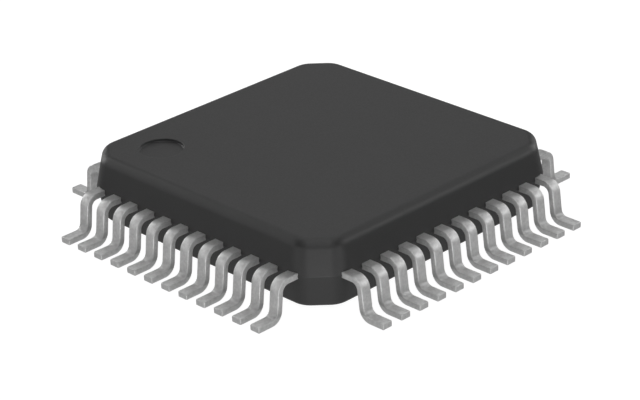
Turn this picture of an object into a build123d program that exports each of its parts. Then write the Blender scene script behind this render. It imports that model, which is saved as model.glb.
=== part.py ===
from build123d import *
import math
import os

# Quad flat pack, 48 gull-wing leads, 0.5 mm pitch, 7 x 7 mm moulding.
# Millimetres, +Z up, origin on the seating plane under the middle of the part.
# Lead 1 is beside the (-X, +Y) corner, and the count runs anticlockwise seen
# from above: 1-12 on -X, 13-24 on -Y, 25-36 on +X, 37-48 on +Y.

# ---- moulding ----------------------------------------------------------------
BODY_SIDE = 7.00        # across the parting plane
STANDOFF = 0.09         # seating plane to the underside
BODY_HEIGHT = 1.40
PARTING_Z = 0.80        # parting plane, also the middle of the leads
DRAFT = 12.0            # degrees, both halves
CORNER_LEG = 0.60       # flat across each corner, leg length
CORNER_ROUND = 0.60     # rounding between the corner flats and the sides
TOP_EDGE_ROUND = 0.22
BOTTOM_EDGE_ROUND = 0.12

# ---- pin 1 recess ------------------------------------------------------------
RECESS_DIA = 0.92
RECESS_DEPTH = 0.06
RECESS_POS = (-2.25, 2.25)

# ---- leads -------------------------------------------------------------------
LEADS_A_SIDE = 12
PITCH = 0.50
LEAD_WIDTH = 0.24
LEAD_THICK = 0.127
TIP_TO_TIP = 9.00
BEND_INNER_R = 0.14
LEG_LEAN = 6.5          # degrees from upright
LEG_MID = 3.92          # centre of the sloping leg, from the middle of the part
NECK_IN = 3.22          # where the straight neck ends inside the moulding
FINGER_END = 2.36       # inner end of each finger, from the middle of the part
FINGER_FAN = 0.64       # finger-end pitch as a share of the outer pitch
FINGER_WIDTH = 0.15

# ---- die pad, die and glue ---------------------------------------------------
PADDLE_SIDE = 3.70
PADDLE_DOWNSET = 0.20   # below the plane of the leads
TIE_WIDTH = 0.24
TIE_BEND_IN = 2.85      # along the diagonal: start and end of the joggle
TIE_BEND_OUT = 3.15
TIE_END = 4.30          # stops inside the corner skin
GLUE_THICK = 0.025
GLUE_SIDE = 3.14
DIE_SIDE = 3.00
DIE_THICK = 0.28

# ---- bond wires --------------------------------------------------------------
WIRE = 0.028            # across flats of the square section
PAD_PITCH = 0.22
PAD_INSET = 0.12        # bond pad centre, in from the die edge
BALL_SIDE = 0.070       # squashed ball, drawn as an eight-sided pad
BALL_HEIGHT = 0.018
WIRE_RISE = 0.17        # loop height above the die
STITCH_U = 2.50         # where the wire lands on the finger

half_t = LEAD_THICK / 2
top_z = STANDOFF + BODY_HEIGHT
half = BODY_SIDE / 2


def corner_cut_outline(h, leg, r):
    """Square of half side h with flats across its corners, corners rounded."""
    pts = [
        (h, -h + leg), (h, h - leg), (h - leg, h), (-h + leg, h),
        (-h, h - leg), (-h, -h + leg), (-h + leg, -h), (h - leg, -h),
    ]
    face = make_face(Polyline(*pts, close=True))
    return fillet(face.vertices(), r)


def half_moulding(height, direction):
    """One half of the moulding, drafted away from the parting plane."""
    outline = Pos(0, 0, PARTING_Z) * corner_cut_outline(half, CORNER_LEG, CORNER_ROUND)
    return extrude(outline, amount=height, dir=(0, 0, direction), taper=DRAFT)


def lead_profile():
    """Side view of a lead from its neck outward, as a face in X (out) and Z."""
    turn = math.radians(90.0 - LEG_LEAN)
    rm = BEND_INNER_R + half_t
    z_foot = half_t
    drop = PARTING_Z - z_foot
    arc_x, arc_z = rm * math.sin(turn), rm * (1 - math.cos(turn))
    leg_z = drop - 2 * arc_z
    leg_x = leg_z / math.tan(turn)
    x_a = LEG_MID - leg_x / 2 - arc_x          # top bend starts
    x_d = LEG_MID + leg_x / 2 + arc_x          # lower bend ends
    c1 = (x_a, PARTING_Z - rm)                 # centre of the top bend
    c2 = (x_d, z_foot + rm)                    # centre of the lower bend

    def on(c, r, a):
        return (c[0] + r * math.cos(a), c[1] + r * math.sin(a))

    ri, ro = BEND_INNER_R, BEND_INNER_R + LEAD_THICK
    up, end1 = math.pi / 2, math.pi / 2 - turn
    down, end2 = -math.pi / 2, -math.pi / 2 - turn
    x_tip = TIP_TO_TIP / 2
    mid1, mid2 = (up + end1) / 2, (down + end2) / 2

    lines = [
        Line((NECK_IN, PARTING_Z + half_t), (x_a, PARTING_Z + half_t)),
        ThreePointArc((x_a, PARTING_Z + half_t), on(c1, ro, mid1), on(c1, ro, end1)),
        Line(on(c1, ro, end1), on(c2, ri, end2)),
        ThreePointArc(on(c2, ri, end2), on(c2, ri, mid2), (x_d, LEAD_THICK)),
        Line((x_d, LEAD_THICK), (x_tip, LEAD_THICK)),
        Line((x_tip, LEAD_THICK), (x_tip, 0)),
        Line((x_tip, 0), (x_d, 0)),
        ThreePointArc((x_d, 0), on(c2, ro, mid2), on(c2, ro, end2)),
        Line(on(c2, ro, end2), on(c1, ri, end1)),
        ThreePointArc(on(c1, ri, end1), on(c1, ri, mid1), (x_a, PARTING_Z - half_t)),
        Line((x_a, PARTING_Z - half_t), (NECK_IN, PARTING_Z - half_t)),
        Line((NECK_IN, PARTING_Z - half_t), (NECK_IN, PARTING_Z + half_t)),
    ]
    return make_face(Wire(lines))


profile = lead_profile()


def make_lead(y):
    """A lead that points along +X at height y along its side of the part."""
    w = LEAD_WIDTH / 2
    outer = Pos(0, y + w, 0) * (Plane.XZ * profile)
    outer = extrude(outer, amount=LEAD_WIDTH, dir=(0, -1, 0))
    f, yt = FINGER_WIDTH / 2, y * FINGER_FAN
    finger = make_face(Polyline(
        (NECK_IN, y - w), (NECK_IN, y + w),
        (FINGER_END + 0.30, yt + f), (FINGER_END, yt + f),
        (FINGER_END, yt - f), (FINGER_END + 0.30, yt - f), close=True))
    finger = extrude(Pos(0, 0, PARTING_Z - half_t) * finger, amount=LEAD_THICK)
    return outer + finger


def side_positions():
    return [(i - (LEADS_A_SIDE - 1) / 2) * PITCH for i in range(LEADS_A_SIDE)]


# ---- wires -------------------------------------------------------------------
paddle_top = PARTING_Z + half_t - PADDLE_DOWNSET
glue_top = paddle_top + GLUE_THICK
die_top = glue_top + DIE_THICK
lead_top = PARTING_Z + half_t


def make_wire(y_pad, y_tip):
    """One bond wire of square section: pad, riser, loop and stitch, pointing +X."""
    x_pad = DIE_SIDE / 2 - PAD_INSET
    run = math.hypot(STITCH_U - x_pad, y_tip - y_pad)
    w = WIRE / 2
    z0, z1 = die_top + BALL_HEIGHT, die_top + WIRE_RISE
    # centre line in the wire's own upright plane, from the pad outward
    path = [(0, z0 + w), (0, z1 - 0.05), (0.05, z1), (run * 0.42, z1 - 0.02),
            (run - 0.06, lead_top + 0.045), (run + 0.03, lead_top + w)]
    left, right = [], []
    for i, (x, z) in enumerate(path):
        if i == 0:
            n = (1.0, 0.0)
            k = 1.0
        elif i == len(path) - 1:
            dx, dz = x - path[i - 1][0], z - path[i - 1][1]
            d = math.hypot(dx, dz)
            n, k = (-dz / d, dx / d), 1.0
        else:
            a = (x - path[i - 1][0], z - path[i - 1][1])
            b = (path[i + 1][0] - x, path[i + 1][1] - z)
            la, lb = math.hypot(*a), math.hypot(*b)
            na, nb = (-a[1] / la, a[0] / la), (-b[1] / lb, b[0] / lb)
            m = (na[0] + nb[0], na[1] + nb[1])
            lm = math.hypot(*m)
            n = (m[0] / lm, m[1] / lm)
            k = 1.0 / (n[0] * na[0] + n[1] * na[1])
        if i == 0:
            left.append((-w, z0))
            right.append((w, z0))
        elif i == len(path) - 1:
            left.append((x, lead_top + 0.010))
            right.append((x, lead_top))
            right.append((x - 0.075, lead_top))
        else:
            left.append((x + n[0] * w * k, z + n[1] * w * k))
            right.append((x - n[0] * w * k, z - n[1] * w * k))
    right = right[:-2] + [right[-1], right[-2]]
    outline = make_face(Polyline(*[(x, z) for x, z in left],
                                 *[(x, z) for x, z in reversed(right)], close=True))
    strand = extrude(Pos(0, w, 0) * (Plane.XZ * outline), amount=WIRE, dir=(0, -1, 0))
    ball = extrude(Pos(0, 0, die_top) * make_face(RegularPolygon(BALL_SIDE / 2, 8).wire()),
                   amount=BALL_HEIGHT)
    one = strand + ball
    turn = math.degrees(math.atan2(y_tip - y_pad, STITCH_U - x_pad))
    return Pos(x_pad, y_pad, 0) * Rot(0, 0, turn) * one


# ---- build everything that points along +X, then turn it to its side ---------
shapes = {}
ys = side_positions()
east_leads = [make_lead(y) for y in ys]
east_wires = [make_wire((i - (LEADS_A_SIDE - 1) / 2) * PAD_PITCH, y * FINGER_FAN)
              for i, y in enumerate(ys)]

# Anticlockwise from the (-X, +Y) corner: turning the +X side by 180 degrees
# puts its lowest lead at the top of the -X side, and so on round the part.
sides = [("left", 180.0), ("front", 270.0), ("right", 0.0), ("back", 90.0)]
number = 1
for name, turn in sides:
    for lead in east_leads:
        shapes[f"lead_{number:02d}"] = Rot(0, 0, turn) * lead
        number += 1
    shapes[f"bond_wires_{name}"] = Compound(
        children=[(Rot(0, 0, turn) * w) for w in east_wires])

# ---- die pad with its four tie bars, one piece of the lead frame --------------
paddle = Pos(0, 0, paddle_top - half_t) * Box(PADDLE_SIDE, PADDLE_SIDE, LEAD_THICK)
pz, lz = paddle_top - half_t, PARTING_Z
tie_start = PADDLE_SIDE / math.sqrt(2) - 0.45
rise = math.atan2(lz - pz, TIE_BEND_OUT - TIE_BEND_IN)
k = half_t * math.tan(rise / 2)
tie_outline = make_face(Polyline(
    (tie_start, pz + half_t), (TIE_BEND_IN - k, pz + half_t),
    (TIE_BEND_OUT - k, lz + half_t), (TIE_END, lz + half_t),
    (TIE_END, lz - half_t), (TIE_BEND_OUT + k, lz - half_t),
    (TIE_BEND_IN + k, pz - half_t), (tie_start, pz - half_t), close=True))
tie = extrude(Pos(0, TIE_WIDTH / 2, 0) * (Plane.XZ * tie_outline),
              amount=TIE_WIDTH, dir=(0, -1, 0))
for a in (45, 135, 225, 315):
    paddle = paddle + Rot(0, 0, a) * tie
shapes["die_paddle"] = paddle

shapes["die_attach"] = Pos(0, 0, paddle_top + GLUE_THICK / 2) * Box(GLUE_SIDE, GLUE_SIDE, GLUE_THICK)
shapes["silicon_die"] = Pos(0, 0, glue_top + DIE_THICK / 2) * Box(DIE_SIDE, DIE_SIDE, DIE_THICK)

# ---- moulding, cast round everything above -----------------------------------
upper = half_moulding(top_z - PARTING_Z, 1)
lower = half_moulding(PARTING_Z - STANDOFF, -1)
top_face = upper.faces().sort_by(Axis.Z)[-1]
upper = fillet(top_face.edges(), TOP_EDGE_ROUND)
bottom_face = lower.faces().sort_by(Axis.Z)[0]
lower = fillet(bottom_face.edges(), BOTTOM_EDGE_ROUND)
body = upper + lower
recess = Pos(RECESS_POS[0], RECESS_POS[1], top_z - RECESS_DEPTH / 2 + 0.5) * \
    Cylinder(RECESS_DIA / 2, RECESS_DEPTH + 1.0)
body = body - recess
inserts = [s for s in shapes.values()]
for s in inserts:
    solids = s.solids()
    body = body - (solids if len(solids) > 1 else solids[0])
shapes["package_body"] = body

# ---- write one STEP per piece ------------------------------------------------
os.makedirs("parts", exist_ok=True)
for name, shape in shapes.items():
    export_step(shape, f"parts/{name}.step")
print(len(shapes), "nodes; moulding volume", round(shapes["package_body"].volume, 4), "mm3")
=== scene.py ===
import math

import bmesh
import bpy
from mathutils import Matrix, Vector


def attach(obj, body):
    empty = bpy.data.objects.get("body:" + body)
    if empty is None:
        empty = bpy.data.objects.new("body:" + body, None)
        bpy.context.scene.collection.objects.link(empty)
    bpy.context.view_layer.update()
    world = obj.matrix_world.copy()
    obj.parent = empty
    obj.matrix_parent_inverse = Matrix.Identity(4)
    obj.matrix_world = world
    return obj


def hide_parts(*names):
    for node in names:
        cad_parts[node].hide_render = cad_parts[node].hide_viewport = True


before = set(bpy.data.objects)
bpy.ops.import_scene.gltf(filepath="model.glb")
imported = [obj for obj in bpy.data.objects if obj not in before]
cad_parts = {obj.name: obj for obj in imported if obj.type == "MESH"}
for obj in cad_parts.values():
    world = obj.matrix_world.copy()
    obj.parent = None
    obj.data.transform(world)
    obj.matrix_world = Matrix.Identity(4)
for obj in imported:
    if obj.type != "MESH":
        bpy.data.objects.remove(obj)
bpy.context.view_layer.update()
scene = bpy.context.scene

# All shapes below are worked out in millimetres and written to meshes in metres.
MM = 0.001

# ---- sizes, the same as the solids ------------------------------------------
BODY_SIDE = 7.00
STANDOFF = 0.09
TOP_Z = 1.49
PARTING_Z = 0.80
DRAFT = math.radians(12.0)
CORNER_LEG = 0.60
CORNER_ROUND = 0.60
TOP_EDGE_ROUND = 0.22
BOTTOM_EDGE_ROUND = 0.12
RECESS_R = 0.46
RECESS_DEPTH = 0.06
RECESS_POS = (-2.25, 2.25)

LEADS_A_SIDE = 12
PITCH = 0.50
LEAD_WIDTH = 0.24
LEAD_THICK = 0.127
TIP = 4.50
BEND_INNER_R = 0.14
LEG_LEAN = 6.5
LEG_MID = 3.92
NECK_IN = 3.22
FINGER_END = 2.36
FINGER_FAN = 0.64
FINGER_WIDTH = 0.15


# ---- small helpers -----------------------------------------------------------
def new_object(name, verts, faces, smooth=True):
    mesh = bpy.data.meshes.new(name)
    mesh.from_pydata([(x * MM, y * MM, z * MM) for x, y, z in verts], [], faces)
    mesh.validate()
    mesh.update()
    obj = bpy.data.objects.new(name, mesh)
    scene.collection.objects.link(obj)
    if smooth:
        for p in mesh.polygons:
            p.use_smooth = True
    return obj


def outward(obj):
    bm = bmesh.new()
    bm.from_mesh(obj.data)
    bmesh.ops.recalc_face_normals(bm, faces=bm.faces)
    bm.to_mesh(obj.data)
    bm.free()


def weighted_normals(obj):
    mod = obj.modifiers.new("weighted", "WEIGHTED_NORMAL")
    mod.mode = "FACE_AREA"
    mod.weight = 100
    mod.keep_sharp = True


def carry(obj, node):
    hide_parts(node)
    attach(obj, "root")


# ---- the moulding ------------------------------------------------------------
def base_ring(n_arc=10, n_side=28, n_flat=4):
    """Points round the parting plane with their outward normals, anticlockwise."""
    h, leg, r = BODY_SIDE / 2, CORNER_LEG, CORNER_ROUND
    corners = [
        (h, -h + leg), (h, h - leg), (h - leg, h), (-h + leg, h),
        (-h, h - leg), (-h, -h + leg), (-h + leg, -h), (h - leg, -h),
    ]
    normal_deg = [0, 45, 90, 135, 180, 225, 270, 315]   # of the edge that starts at each corner
    out = []
    k = len(corners)
    tangent = r * math.tan(math.radians(22.5))
    for i in range(k):
        a_in = math.radians(normal_deg[i - 1])
        a_out = math.radians(normal_deg[i])
        if a_out < a_in:
            a_out += 2 * math.pi
        cx, cy = corners[i]
        # centre of the corner's rounding: back from both edges by r
        bis = (a_in + a_out) / 2
        dist = r / math.cos(math.radians(22.5))
        ox, oy = cx - dist * math.cos(bis), cy - dist * math.sin(bis)
        for s in range(n_arc + 1):
            a = a_in + (a_out - a_in) * s / n_arc
            out.append((ox + r * math.cos(a), oy + r * math.sin(a), math.cos(a), math.sin(a)))
        nx, ny = math.cos(a_out), math.sin(a_out)
        bx, by = corners[(i + 1) % k]
        length = math.hypot(bx - cx, by - cy)
        ux, uy = (bx - cx) / length, (by - cy) / length
        n = n_side if i % 2 == 0 else n_flat
        x0, y0 = cx + ux * tangent, cy + uy * tangent
        span = length - 2 * tangent
        for s in range(1, n):
            out.append((x0 + ux * span * s / n, y0 + uy * span * s / n, nx, ny))
    return out


def side_profile():
    """(inset from the parting outline, height) from the underside to the top."""
    tan_d = math.tan(DRAFT)
    prof = []
    # bottom edge rounding, from flat underside out to the drafted side
    h = PARTING_Z - STANDOFF
    cu = -(h * tan_d) - BOTTOM_EDGE_ROUND * math.tan(math.radians(39.0))
    cz = STANDOFF + BOTTOM_EDGE_ROUND
    n = 9
    for i in range(n + 1):
        a = math.radians(-90.0 + (90.0 - 12.0) * i / n)
        prof.append((-(cu + BOTTOM_EDGE_ROUND * math.cos(a)), cz + BOTTOM_EDGE_ROUND * math.sin(a)))
    # drafted lower side, narrow softened parting edge, drafted upper side
    for dz in (-0.030, -0.012):
        prof.append((-dz * tan_d, PARTING_Z + dz))
    prof.append((0.0006, PARTING_Z - 0.004))
    prof.append((0.0006, PARTING_Z + 0.004))
    for dz in (0.012, 0.030):
        prof.append((dz * tan_d, PARTING_Z + dz))
    h = TOP_Z - PARTING_Z
    cu = -(h * tan_d) - TOP_EDGE_ROUND * math.tan(math.radians(39.0))
    cz = TOP_Z - TOP_EDGE_ROUND
    n = 12
    for i in range(n + 1):
        a = math.radians(12.0 + (90.0 - 12.0) * i / n)
        prof.append((-(cu + TOP_EDGE_ROUND * math.cos(a)), cz + TOP_EDGE_ROUND * math.sin(a)))
    # a narrow flat ring inside each rounding keeps the shading of the big flat faces even
    flat = 0.05
    return [(prof[0][0] + flat, prof[0][1])] + prof + [(prof[-1][0] + flat, prof[-1][1])]


def build_body():
    ring = base_ring()
    prof = side_profile()
    n = len(ring)
    verts, faces = [], []
    for d, z in prof:
        for x, y, nx, ny in ring:
            verts.append((x - nx * d, y - ny * d, z))
    for j in range(len(prof) - 1):
        for i in range(n):
            a, b = j * n + i, j * n + (i + 1) % n
            faces.append((a, b, b + n, a + n))
    faces.append(tuple(reversed(range(n))))          # flat underside
    top_start = (len(prof) - 1) * n
    # pin 1 recess: rim, wall, floor corner, floor
    m = 96
    rim_r, floor_r = 0.016, 0.028
    rec = [(RECESS_R + rim_r + 0.05, TOP_Z)]
    for i in range(5):
        a = math.radians(90.0 * i / 4)
        rec.append((RECESS_R + rim_r * (1 - math.sin(a)), TOP_Z - rim_r * (1 - math.cos(a))))
    for i in range(7):
        a = math.radians(90.0 * i / 6)
        rec.append((RECESS_R - floor_r * (1 - math.cos(a)),
                    TOP_Z - RECESS_DEPTH + floor_r * (1 - math.sin(a))))
    rec.append((RECESS_R - floor_r - 0.05, TOP_Z - RECESS_DEPTH))
    rec_start = len(verts)
    for r, z in rec:
        for i in range(m):
            a = 2 * math.pi * i / m
            verts.append((RECESS_POS[0] + r * math.cos(a), RECESS_POS[1] + r * math.sin(a), z))
    for j in range(len(rec) - 1):
        for i in range(m):
            a, b = rec_start + j * m + i, rec_start + j * m + (i + 1) % m
            faces.append((a, b, b + m, a + m))
    faces.append(tuple(rec_start + (len(rec) - 1) * m + i for i in range(m)))
    obj = new_object("moulded_body", verts, faces)
    # the flat top, with the hole for the recess
    bm = bmesh.new()
    bm.from_mesh(obj.data)
    bm.verts.ensure_lookup_table()
    bm.edges.ensure_lookup_table()
    loop_edges = []
    for start, count in ((top_start, n), (rec_start, m)):
        for i in range(count):
            a, b = bm.verts[start + i], bm.verts[start + (i + 1) % count]
            e = bm.edges.get((a, b))
            if e is None:
                e = bm.edges.new((a, b))
            loop_edges.append(e)
    made = bmesh.ops.triangle_fill(bm, use_beauty=True, use_dissolve=False, edges=loop_edges, normal=(0, 0, 1))
    for f in made["geom"]:
        if isinstance(f, bmesh.types.BMFace):
            f.smooth = True
    bmesh.ops.recalc_face_normals(bm, faces=bm.faces)
    bm.to_mesh(obj.data)
    bm.free()
    weighted_normals(obj)
    return obj


# ---- the leads ---------------------------------------------------------------
def section(width, thick, r, per_corner=4):
    """Rounded rectangle, across the strip (a) and through it (b)."""
    pts = []
    for qa, qb, start in ((1, 1, 0), (-1, 1, 90), (-1, -1, 180), (1, -1, 270)):
        ca, cb = qa * (width / 2 - r), qb * (thick / 2 - r)
        for s in range(per_corner):
            t = math.radians(start + 90.0 * s / (per_corner - 1))
            pts.append((ca + r * math.cos(t), cb + r * math.sin(t)))
    return pts


def lead_stations():
    """(out, up, lean of the strip, sideways place 0..1 of the fan, width) along a lead."""
    turn = math.radians(90.0 - LEG_LEAN)
    t2 = LEAD_THICK / 2
    rm = BEND_INNER_R + t2
    arc_x, arc_z = rm * math.sin(turn), rm * (1 - math.cos(turn))
    leg_z = (PARTING_Z - t2) - 2 * arc_z
    leg_x = leg_z / math.tan(turn)
    x_a = LEG_MID - leg_x / 2 - arc_x
    x_d = LEG_MID + leg_x / 2 + arc_x
    st = []
    st.append((FINGER_END, PARTING_Z, 0.0, 1.0, FINGER_WIDTH))
    st.append((FINGER_END + 0.30, PARTING_Z, 0.0, 1.0, FINGER_WIDTH))
    for i in range(1, 5):
        f = i / 4
        st.append((FINGER_END + 0.30 + (NECK_IN - FINGER_END - 0.30) * f, PARTING_Z, 0.0, 1.0 - f,
                   FINGER_WIDTH + (LEAD_WIDTH - FINGER_WIDTH) * f))
    st.append((3.45, PARTING_Z, 0.0, 0.0, LEAD_WIDTH))
    n = 14
    for i in range(n + 1):
        a = turn * i / n
        st.append((x_a + rm * math.sin(a), PARTING_Z - rm * (1 - math.cos(a)), -a, 0.0, LEAD_WIDTH))
    for i in range(n + 1):
        a = turn * (1 - i / n)
        st.append((x_d - rm * math.sin(a), t2 + rm * (1 - math.cos(a)), -a, 0.0, LEAD_WIDTH))
    for u in (4.25, 4.38):
        st.append((u, t2, 0.0, 0.0, LEAD_WIDTH))
    return st


STATIONS = lead_stations()


def build_lead(name, y, turn_deg):
    r_edge = 0.018
    verts, faces = [], []
    rings = []
    shift_full = y * (FINGER_FAN - 1.0)
    st = list(STATIONS)

    def add_ring(u, z, lean, fan, width, inset=0.0):
        start = len(verts)
        nx, nz = -math.sin(lean), math.cos(lean)
        rr = max(r_edge - inset, 0.003)
        for a, b in section(width - 2 * inset, LEAD_THICK - 2 * inset, rr):
            verts.append((u + nx * b, y + shift_full * fan + a, z + nz * b))
        rings.append(start)

    # softened inner end, strip, softened toe
    u0, z0, l0, f0, w0 = st[0]
    e = 0.012
    for i in range(3, 0, -1):
        t = math.radians(90.0 * i / 3)
        add_ring(u0 + e * (1 - math.cos(math.pi / 2 - t)), z0, l0, f0, w0, e * (1 - math.sin(math.pi / 2 - t)))
    for s in st[1:]:
        add_ring(*s)
    e = 0.016
    for i in range(5):
        t = math.radians(90.0 * i / 4)
        add_ring(TIP - e * (1 - math.sin(t)), LEAD_THICK / 2, 0.0, 0.0, LEAD_WIDTH, e * (1 - math.cos(t)))
    per = 16
    for j in range(len(rings) - 1):
        for i in range(per):
            a, b = rings[j] + i, rings[j] + (i + 1) % per
            c, d = rings[j + 1] + (i + 1) % per, rings[j + 1] + i
            faces.append((a, b, c, d))
    faces.append(tuple(rings[0] + i for i in range(per)))
    faces.append(tuple(reversed([rings[-1] + i for i in range(per)])))
    ca, sa = math.cos(math.radians(turn_deg)), math.sin(math.radians(turn_deg))
    verts = [(x * ca - yy * sa, x * sa + yy * ca, z) for x, yy, z in verts]
    obj = new_object(name, verts, faces)
    outward(obj)
    weighted_normals(obj)
    return obj


# ---- materials ---------------------------------------------------------------
def node_material(name):
    mat = bpy.data.materials.new(name)
    mat.use_nodes = True
    nt = mat.node_tree
    bsdf = nt.nodes["Principled BSDF"]
    return mat, nt, bsdf


def noise(nt, scale, detail=4.0, rough=0.5, vector=None, distortion=0.0):
    n = nt.nodes.new("ShaderNodeTexNoise")
    n.inputs["Scale"].default_value = scale
    n.inputs["Detail"].default_value = detail
    n.inputs["Roughness"].default_value = rough
    n.inputs["Distortion"].default_value = distortion
    if vector is not None:
        nt.links.new(vector, n.inputs["Vector"])
    return n


def ramp(nt, source, stops):
    r = nt.nodes.new("ShaderNodeValToRGB")
    els = r.color_ramp.elements
    while len(els) < len(stops):
        els.new(0.5)
    for el, (pos, col) in zip(els, stops):
        el.position = pos
        el.color = (col[0], col[1], col[2], 1.0) if hasattr(col, "__len__") else (col, col, col, 1.0)
    nt.links.new(source, r.inputs["Fac"])
    return r


def object_coords(nt, scale=(1.0, 1.0, 1.0)):
    tc = nt.nodes.new("ShaderNodeTexCoord")
    mp = nt.nodes.new("ShaderNodeMapping")
    mp.inputs["Scale"].default_value = scale
    nt.links.new(tc.outputs["Object"], mp.inputs["Vector"])
    return mp.outputs["Vector"]


def bump(nt, height, strength, distance, normal=None):
    b = nt.nodes.new("ShaderNodeBump")
    b.inputs["Strength"].default_value = strength
    b.inputs["Distance"].default_value = distance
    nt.links.new(height, b.inputs["Height"])
    if normal is not None:
        nt.links.new(normal, b.inputs["Normal"])
    return b


def epoxy_material():
    mat, nt, bsdf = node_material("moulded_epoxy")
    co = object_coords(nt)
    fine = noise(nt, 30000.0, 3.0, 0.6, co)       # spark-eroded mould texture, about 0.03 mm
    broad = noise(nt, 900.0, 4.0, 0.55, co)        # faint clouding, about 1 mm
    col = ramp(nt, broad.outputs["Fac"], [(0.30, (0.0103, 0.0103, 0.0105)), (0.70, (0.0123, 0.0123, 0.0125))])
    nt.links.new(col.outputs["Color"], bsdf.inputs["Base Color"])
    rgh = ramp(nt, fine.outputs["Fac"], [(0.30, 0.46), (0.70, 0.54)])
    nt.links.new(rgh.outputs["Color"], bsdf.inputs["Roughness"])
    b = bump(nt, fine.outputs["Fac"], 0.18, 0.000003)
    nt.links.new(b.outputs["Normal"], bsdf.inputs["Normal"])
    bsdf.inputs["IOR"].default_value = 1.5
    bsdf.inputs["Specular IOR Level"].default_value = 0.88
    return mat


def tin_material():
    mat, nt, bsdf = node_material("matte_tin_plate")
    co = object_coords(nt)
    grain = noise(nt, 60000.0, 3.0, 0.6, co)       # plating grain, about 0.015 mm
    cloud = noise(nt, 16000.0, 3.0, 0.55, co)      # uneven plating, about 0.06 mm
    mottle = ramp(nt, cloud.outputs["Fac"], [(0.32, (0.840, 0.840, 0.836)), (0.68, (1.0, 1.0, 0.996))])
    # painted highlight and painted shade by height: the base colour is painted brighter on the outside of the
    # top bend and darker at the heel and on the shoulder top next to the body, where shade falls
    place = nt.nodes.new("ShaderNodeSeparateXYZ")
    nt.links.new(co, place.inputs["Vector"])
    height = nt.nodes.new("ShaderNodeMath")
    height.operation = "MULTIPLY"
    height.inputs[1].default_value = 1.0 / (0.95 * MM)
    nt.links.new(place.outputs["Z"], height.inputs[0])
    foot = 0.83
    # painted light and shade: lighter at the top bend, darker at the heel and the shoulder top
    painted_bend_light_and_shade = ramp(nt, height.outputs[0], [
        (0.000, foot), (0.135, foot), (0.158, foot * 0.76), (0.210, foot * 0.74), (0.284, foot * 0.90),
        (0.379, foot * 1.02), (0.474, foot * 1.04), (0.653, foot * 1.05), (0.716, foot * 1.06),
        (0.875, foot * 1.05), (0.907, foot * 0.72)])
    # the random plating mottle multiplied by the painted highlight and shade
    mottle_and_painted_light = nt.nodes.new("ShaderNodeMix")
    mottle_and_painted_light.data_type = "RGBA"
    mottle_and_painted_light.blend_type = "MULTIPLY"
    mottle_and_painted_light.inputs["Factor"].default_value = 1.0
    nt.links.new(painted_bend_light_and_shade.outputs["Color"], mottle_and_painted_light.inputs[6])
    nt.links.new(mottle.outputs["Color"], mottle_and_painted_light.inputs[7])
    nt.links.new(mottle_and_painted_light.outputs[2], bsdf.inputs["Base Color"])
    bsdf.inputs["Metallic"].default_value = 0.63
    rgh = ramp(nt, grain.outputs["Fac"], [(0.30, 0.39), (0.70, 0.49)])
    nt.links.new(rgh.outputs["Color"], bsdf.inputs["Roughness"])
    b = bump(nt, grain.outputs["Fac"], 0.12, 0.000002)
    nt.links.new(b.outputs["Normal"], bsdf.inputs["Normal"])
    return mat


def metal_material(name, dark, light, rough, scale):
    mat, nt, bsdf = node_material(name)
    co = object_coords(nt)
    n = noise(nt, scale, 4.0, 0.6, co)
    col = ramp(nt, n.outputs["Fac"], [(0.30, dark), (0.70, light)])
    nt.links.new(col.outputs["Color"], bsdf.inputs["Base Color"])
    bsdf.inputs["Metallic"].default_value = 1.0
    rgh = ramp(nt, n.outputs["Fac"], [(0.30, rough - 0.05), (0.70, rough + 0.08)])
    nt.links.new(rgh.outputs["Color"], bsdf.inputs["Roughness"])
    return mat


def dull_material(name, dark, light, rough, scale):
    mat, nt, bsdf = node_material(name)
    co = object_coords(nt)
    n = noise(nt, scale, 4.0, 0.6, co)
    col = ramp(nt, n.outputs["Fac"], [(0.30, dark), (0.70, light)])
    nt.links.new(col.outputs["Color"], bsdf.inputs["Base Color"])
    rgh = ramp(nt, n.outputs["Fac"], [(0.30, rough - 0.05), (0.70, rough + 0.08)])
    nt.links.new(rgh.outputs["Color"], bsdf.inputs["Roughness"])
    return mat


epoxy = epoxy_material()
tin = tin_material()
copper = metal_material("rolled_copper_alloy", (0.70, 0.36, 0.22), (0.80, 0.44, 0.28), 0.32, 9000.0)
glue = dull_material("silver_filled_glue", (0.42, 0.42, 0.41), (0.60, 0.60, 0.58), 0.5, 30000.0)
silicon = dull_material("silicon", (0.10, 0.11, 0.14), (0.16, 0.17, 0.21), 0.18, 5000.0)
gold = metal_material("gold_wire", (0.90, 0.62, 0.22), (0.98, 0.74, 0.34), 0.22, 20000.0)

# ---- pieces ------------------------------------------------------------------
body = build_body()
body.data.materials.append(epoxy)
carry(body, "package_body")

SIDES = (("left", 180.0), ("front", 270.0), ("right", 0.0), ("back", 90.0))
number = 1
for side, turn_deg in SIDES:
    for i in range(LEADS_A_SIDE):
        y = (i - (LEADS_A_SIDE - 1) / 2) * PITCH
        lead = build_lead(f"gull_wing_{number:02d}", y, turn_deg)
        lead.data.materials.append(tin)
        carry(lead, f"lead_{number:02d}")
        number += 1

for node, mat in (("die_paddle", copper), ("die_attach", glue), ("silicon_die", silicon),
                  ("bond_wires_left", gold), ("bond_wires_front", gold),
                  ("bond_wires_right", gold), ("bond_wires_back", gold)):
    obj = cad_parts[node]
    if obj.material_slots:
        for s in obj.material_slots:
            s.material = mat
    else:
        obj.data.materials.append(mat)

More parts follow.
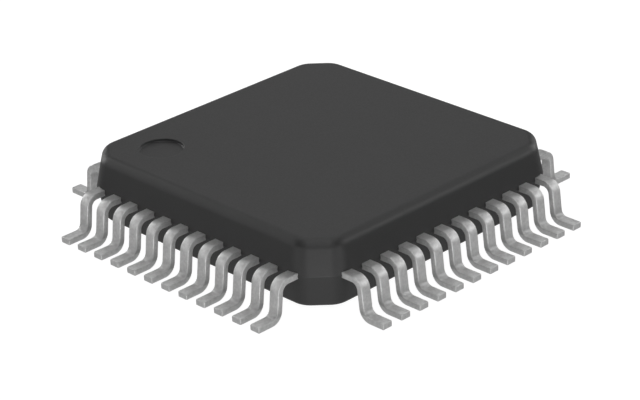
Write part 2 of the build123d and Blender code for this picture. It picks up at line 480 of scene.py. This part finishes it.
# ---- floor -------------------------------------------------------------------
bm = bmesh.new()
bmesh.ops.create_grid(bm, x_segments=4, y_segments=4, size=0.9)
floor_mesh = bpy.data.meshes.new("floor")
bm.to_mesh(floor_mesh)
bm.free()
floor = bpy.data.objects.new("floor", floor_mesh)
floor.location = (0, 0, -0.000002)
scene.collection.objects.link(floor)
floor_mat, nt, bsdf = node_material("pale_floor")
bsdf.inputs["Base Color"].default_value = (0.20, 0.20, 0.20, 1)
bsdf.inputs["Roughness"].default_value = 1.0
bsdf.inputs["Specular IOR Level"].default_value = 0.0
bsdf.inputs["Emission Color"].default_value = (1.0, 1.0, 1.0, 1)
bsdf.inputs["Emission Strength"].default_value = 0.97
floor.data.materials.append(floor_mat)
floor.visible_diffuse = False
floor.visible_glossy = False
floor.visible_shadow = False      # the light that a pale table throws back comes from the lights below

# ---- light -------------------------------------------------------------------
world = bpy.data.worlds.new("studio")
scene.world = world
world.use_nodes = True
wt = world.node_tree
wt.nodes.clear()
w_out = wt.nodes.new("ShaderNodeOutputWorld")
mix = wt.nodes.new("ShaderNodeMixShader")
path = wt.nodes.new("ShaderNodeLightPath")
seen = wt.nodes.new("ShaderNodeBackground")
seen.inputs["Color"].default_value = (1, 1, 1, 1)
seen.inputs["Strength"].default_value = 1.05
room = wt.nodes.new("ShaderNodeBackground")
room.inputs["Strength"].default_value = 1.0
coord = wt.nodes.new("ShaderNodeTexCoord")
sep = wt.nodes.new("ShaderNodeSeparateXYZ")
half_up = wt.nodes.new("ShaderNodeMath")
half_up.operation = "MULTIPLY_ADD"
half_up.inputs[1].default_value = 0.5
half_up.inputs[2].default_value = 0.5
wt.links.new(coord.outputs["Generated"], sep.inputs["Vector"])
wt.links.new(sep.outputs["Z"], half_up.inputs[0])
# 0 is straight down, 0.5 the horizon, 1 straight up: light thrown back by the pale table
# and low light all round; everything higher comes from the soft lights below
sky = ramp(wt, half_up.outputs[0], [(0.0, 0.53), (0.25, 0.30), (0.5, 0.08), (0.75, 0.0), (1.0, 0.0)])
wt.links.new(sky.outputs["Color"], room.inputs["Color"])
wt.links.new(path.outputs["Is Camera Ray"], mix.inputs["Fac"])
wt.links.new(room.outputs["Background"], mix.inputs[1])
wt.links.new(seen.outputs["Background"], mix.inputs[2])
wt.links.new(mix.outputs["Shader"], w_out.inputs["Surface"])


def sun(name, azimuth, elevation, strength, angle):
    """A wide soft light from a compass direction (0 is -Y, towards the default viewer)."""
    data = bpy.data.lights.new(name, "SUN")
    data.energy = strength
    data.angle = math.radians(angle)
    obj = bpy.data.objects.new(name, data)
    a, e = math.radians(azimuth), math.radians(elevation)
    away = Vector((math.sin(a) * math.cos(e), -math.cos(a) * math.cos(e), math.sin(e)))
    obj.rotation_euler = away.to_track_quat("Z", "Y").to_euler()
    obj.location = away * 0.1
    scene.collection.objects.link(obj)
    return obj


# name, compass direction, elevation, strength: large soft panels all round the table
for panel in (
    ("front_table", -45.0, -18.0, 0.64), ("left_low", -90.0, 0.0, 0.20), ("right_low", 0.0, 0.0, 0.31),
    ("left_side_low", -112.0, 5.0, 0.10), ("front", -45.0, 20.0, 0.07), ("front_mid", -45.0, 42.0, 0.29),
    ("front_high", -45.0, 64.0, 0.18), ("front_top", -45.0, 84.0, 0.15), ("overhead", 0.0, 90.0, 0.14),
    ("left_back_low", -135.0, 8.0, 0.07), ("left_back", -135.0, 30.0, 0.19),
    ("right_back_low", 45.0, 8.0, 0.06), ("right_back", 45.0, 30.0, 0.38),
    ("right_far_low", 90.0, 12.0, 0.45), ("right_far", 90.0, 40.0, 0.18),
    ("left_far_low", -180.0, 10.0, 0.61), ("left_far", -180.0, 35.0, 0.24),
    ("back_low", 135.0, 12.0, 0.06), ("back_mid", 135.0, 30.0, 0.04), ("back", 135.0, 50.0, 0.19),
    ("back_high", 135.0, 74.0, 0.11),
):
    sun(*panel, 28.0)

# ---- camera ------------------------------------------------------------------
CAM_POS = Vector((-30.8165, -31.7268, 21.5055)) * MM
CAM_FORWARD = Vector((0.62763, 0.64655, -0.43366))
CAM_RIGHT = Vector((0.70641, -0.70709, -0.03184))
back = -CAM_FORWARD.normalized()
right = (CAM_RIGHT - back * CAM_RIGHT.dot(back)).normalized()
up = back.cross(right)
cam_data = bpy.data.cameras.new("camera")
cam_data.sensor_width = 36.0
cam_data.lens = 135.0
cam_data.clip_start = 0.001
cam_data.clip_end = 10.0
cam = bpy.data.objects.new("camera", cam_data)
cam.matrix_world = Matrix.Translation(CAM_POS) @ Matrix((right, up, back)).transposed().to_4x4()
scene.collection.objects.link(cam)
scene.camera = cam

scene.view_settings.view_transform = "Standard"
scene.view_settings.look = "None"
scene.view_settings.exposure = 0.0
scene.view_settings.gamma = 1.0
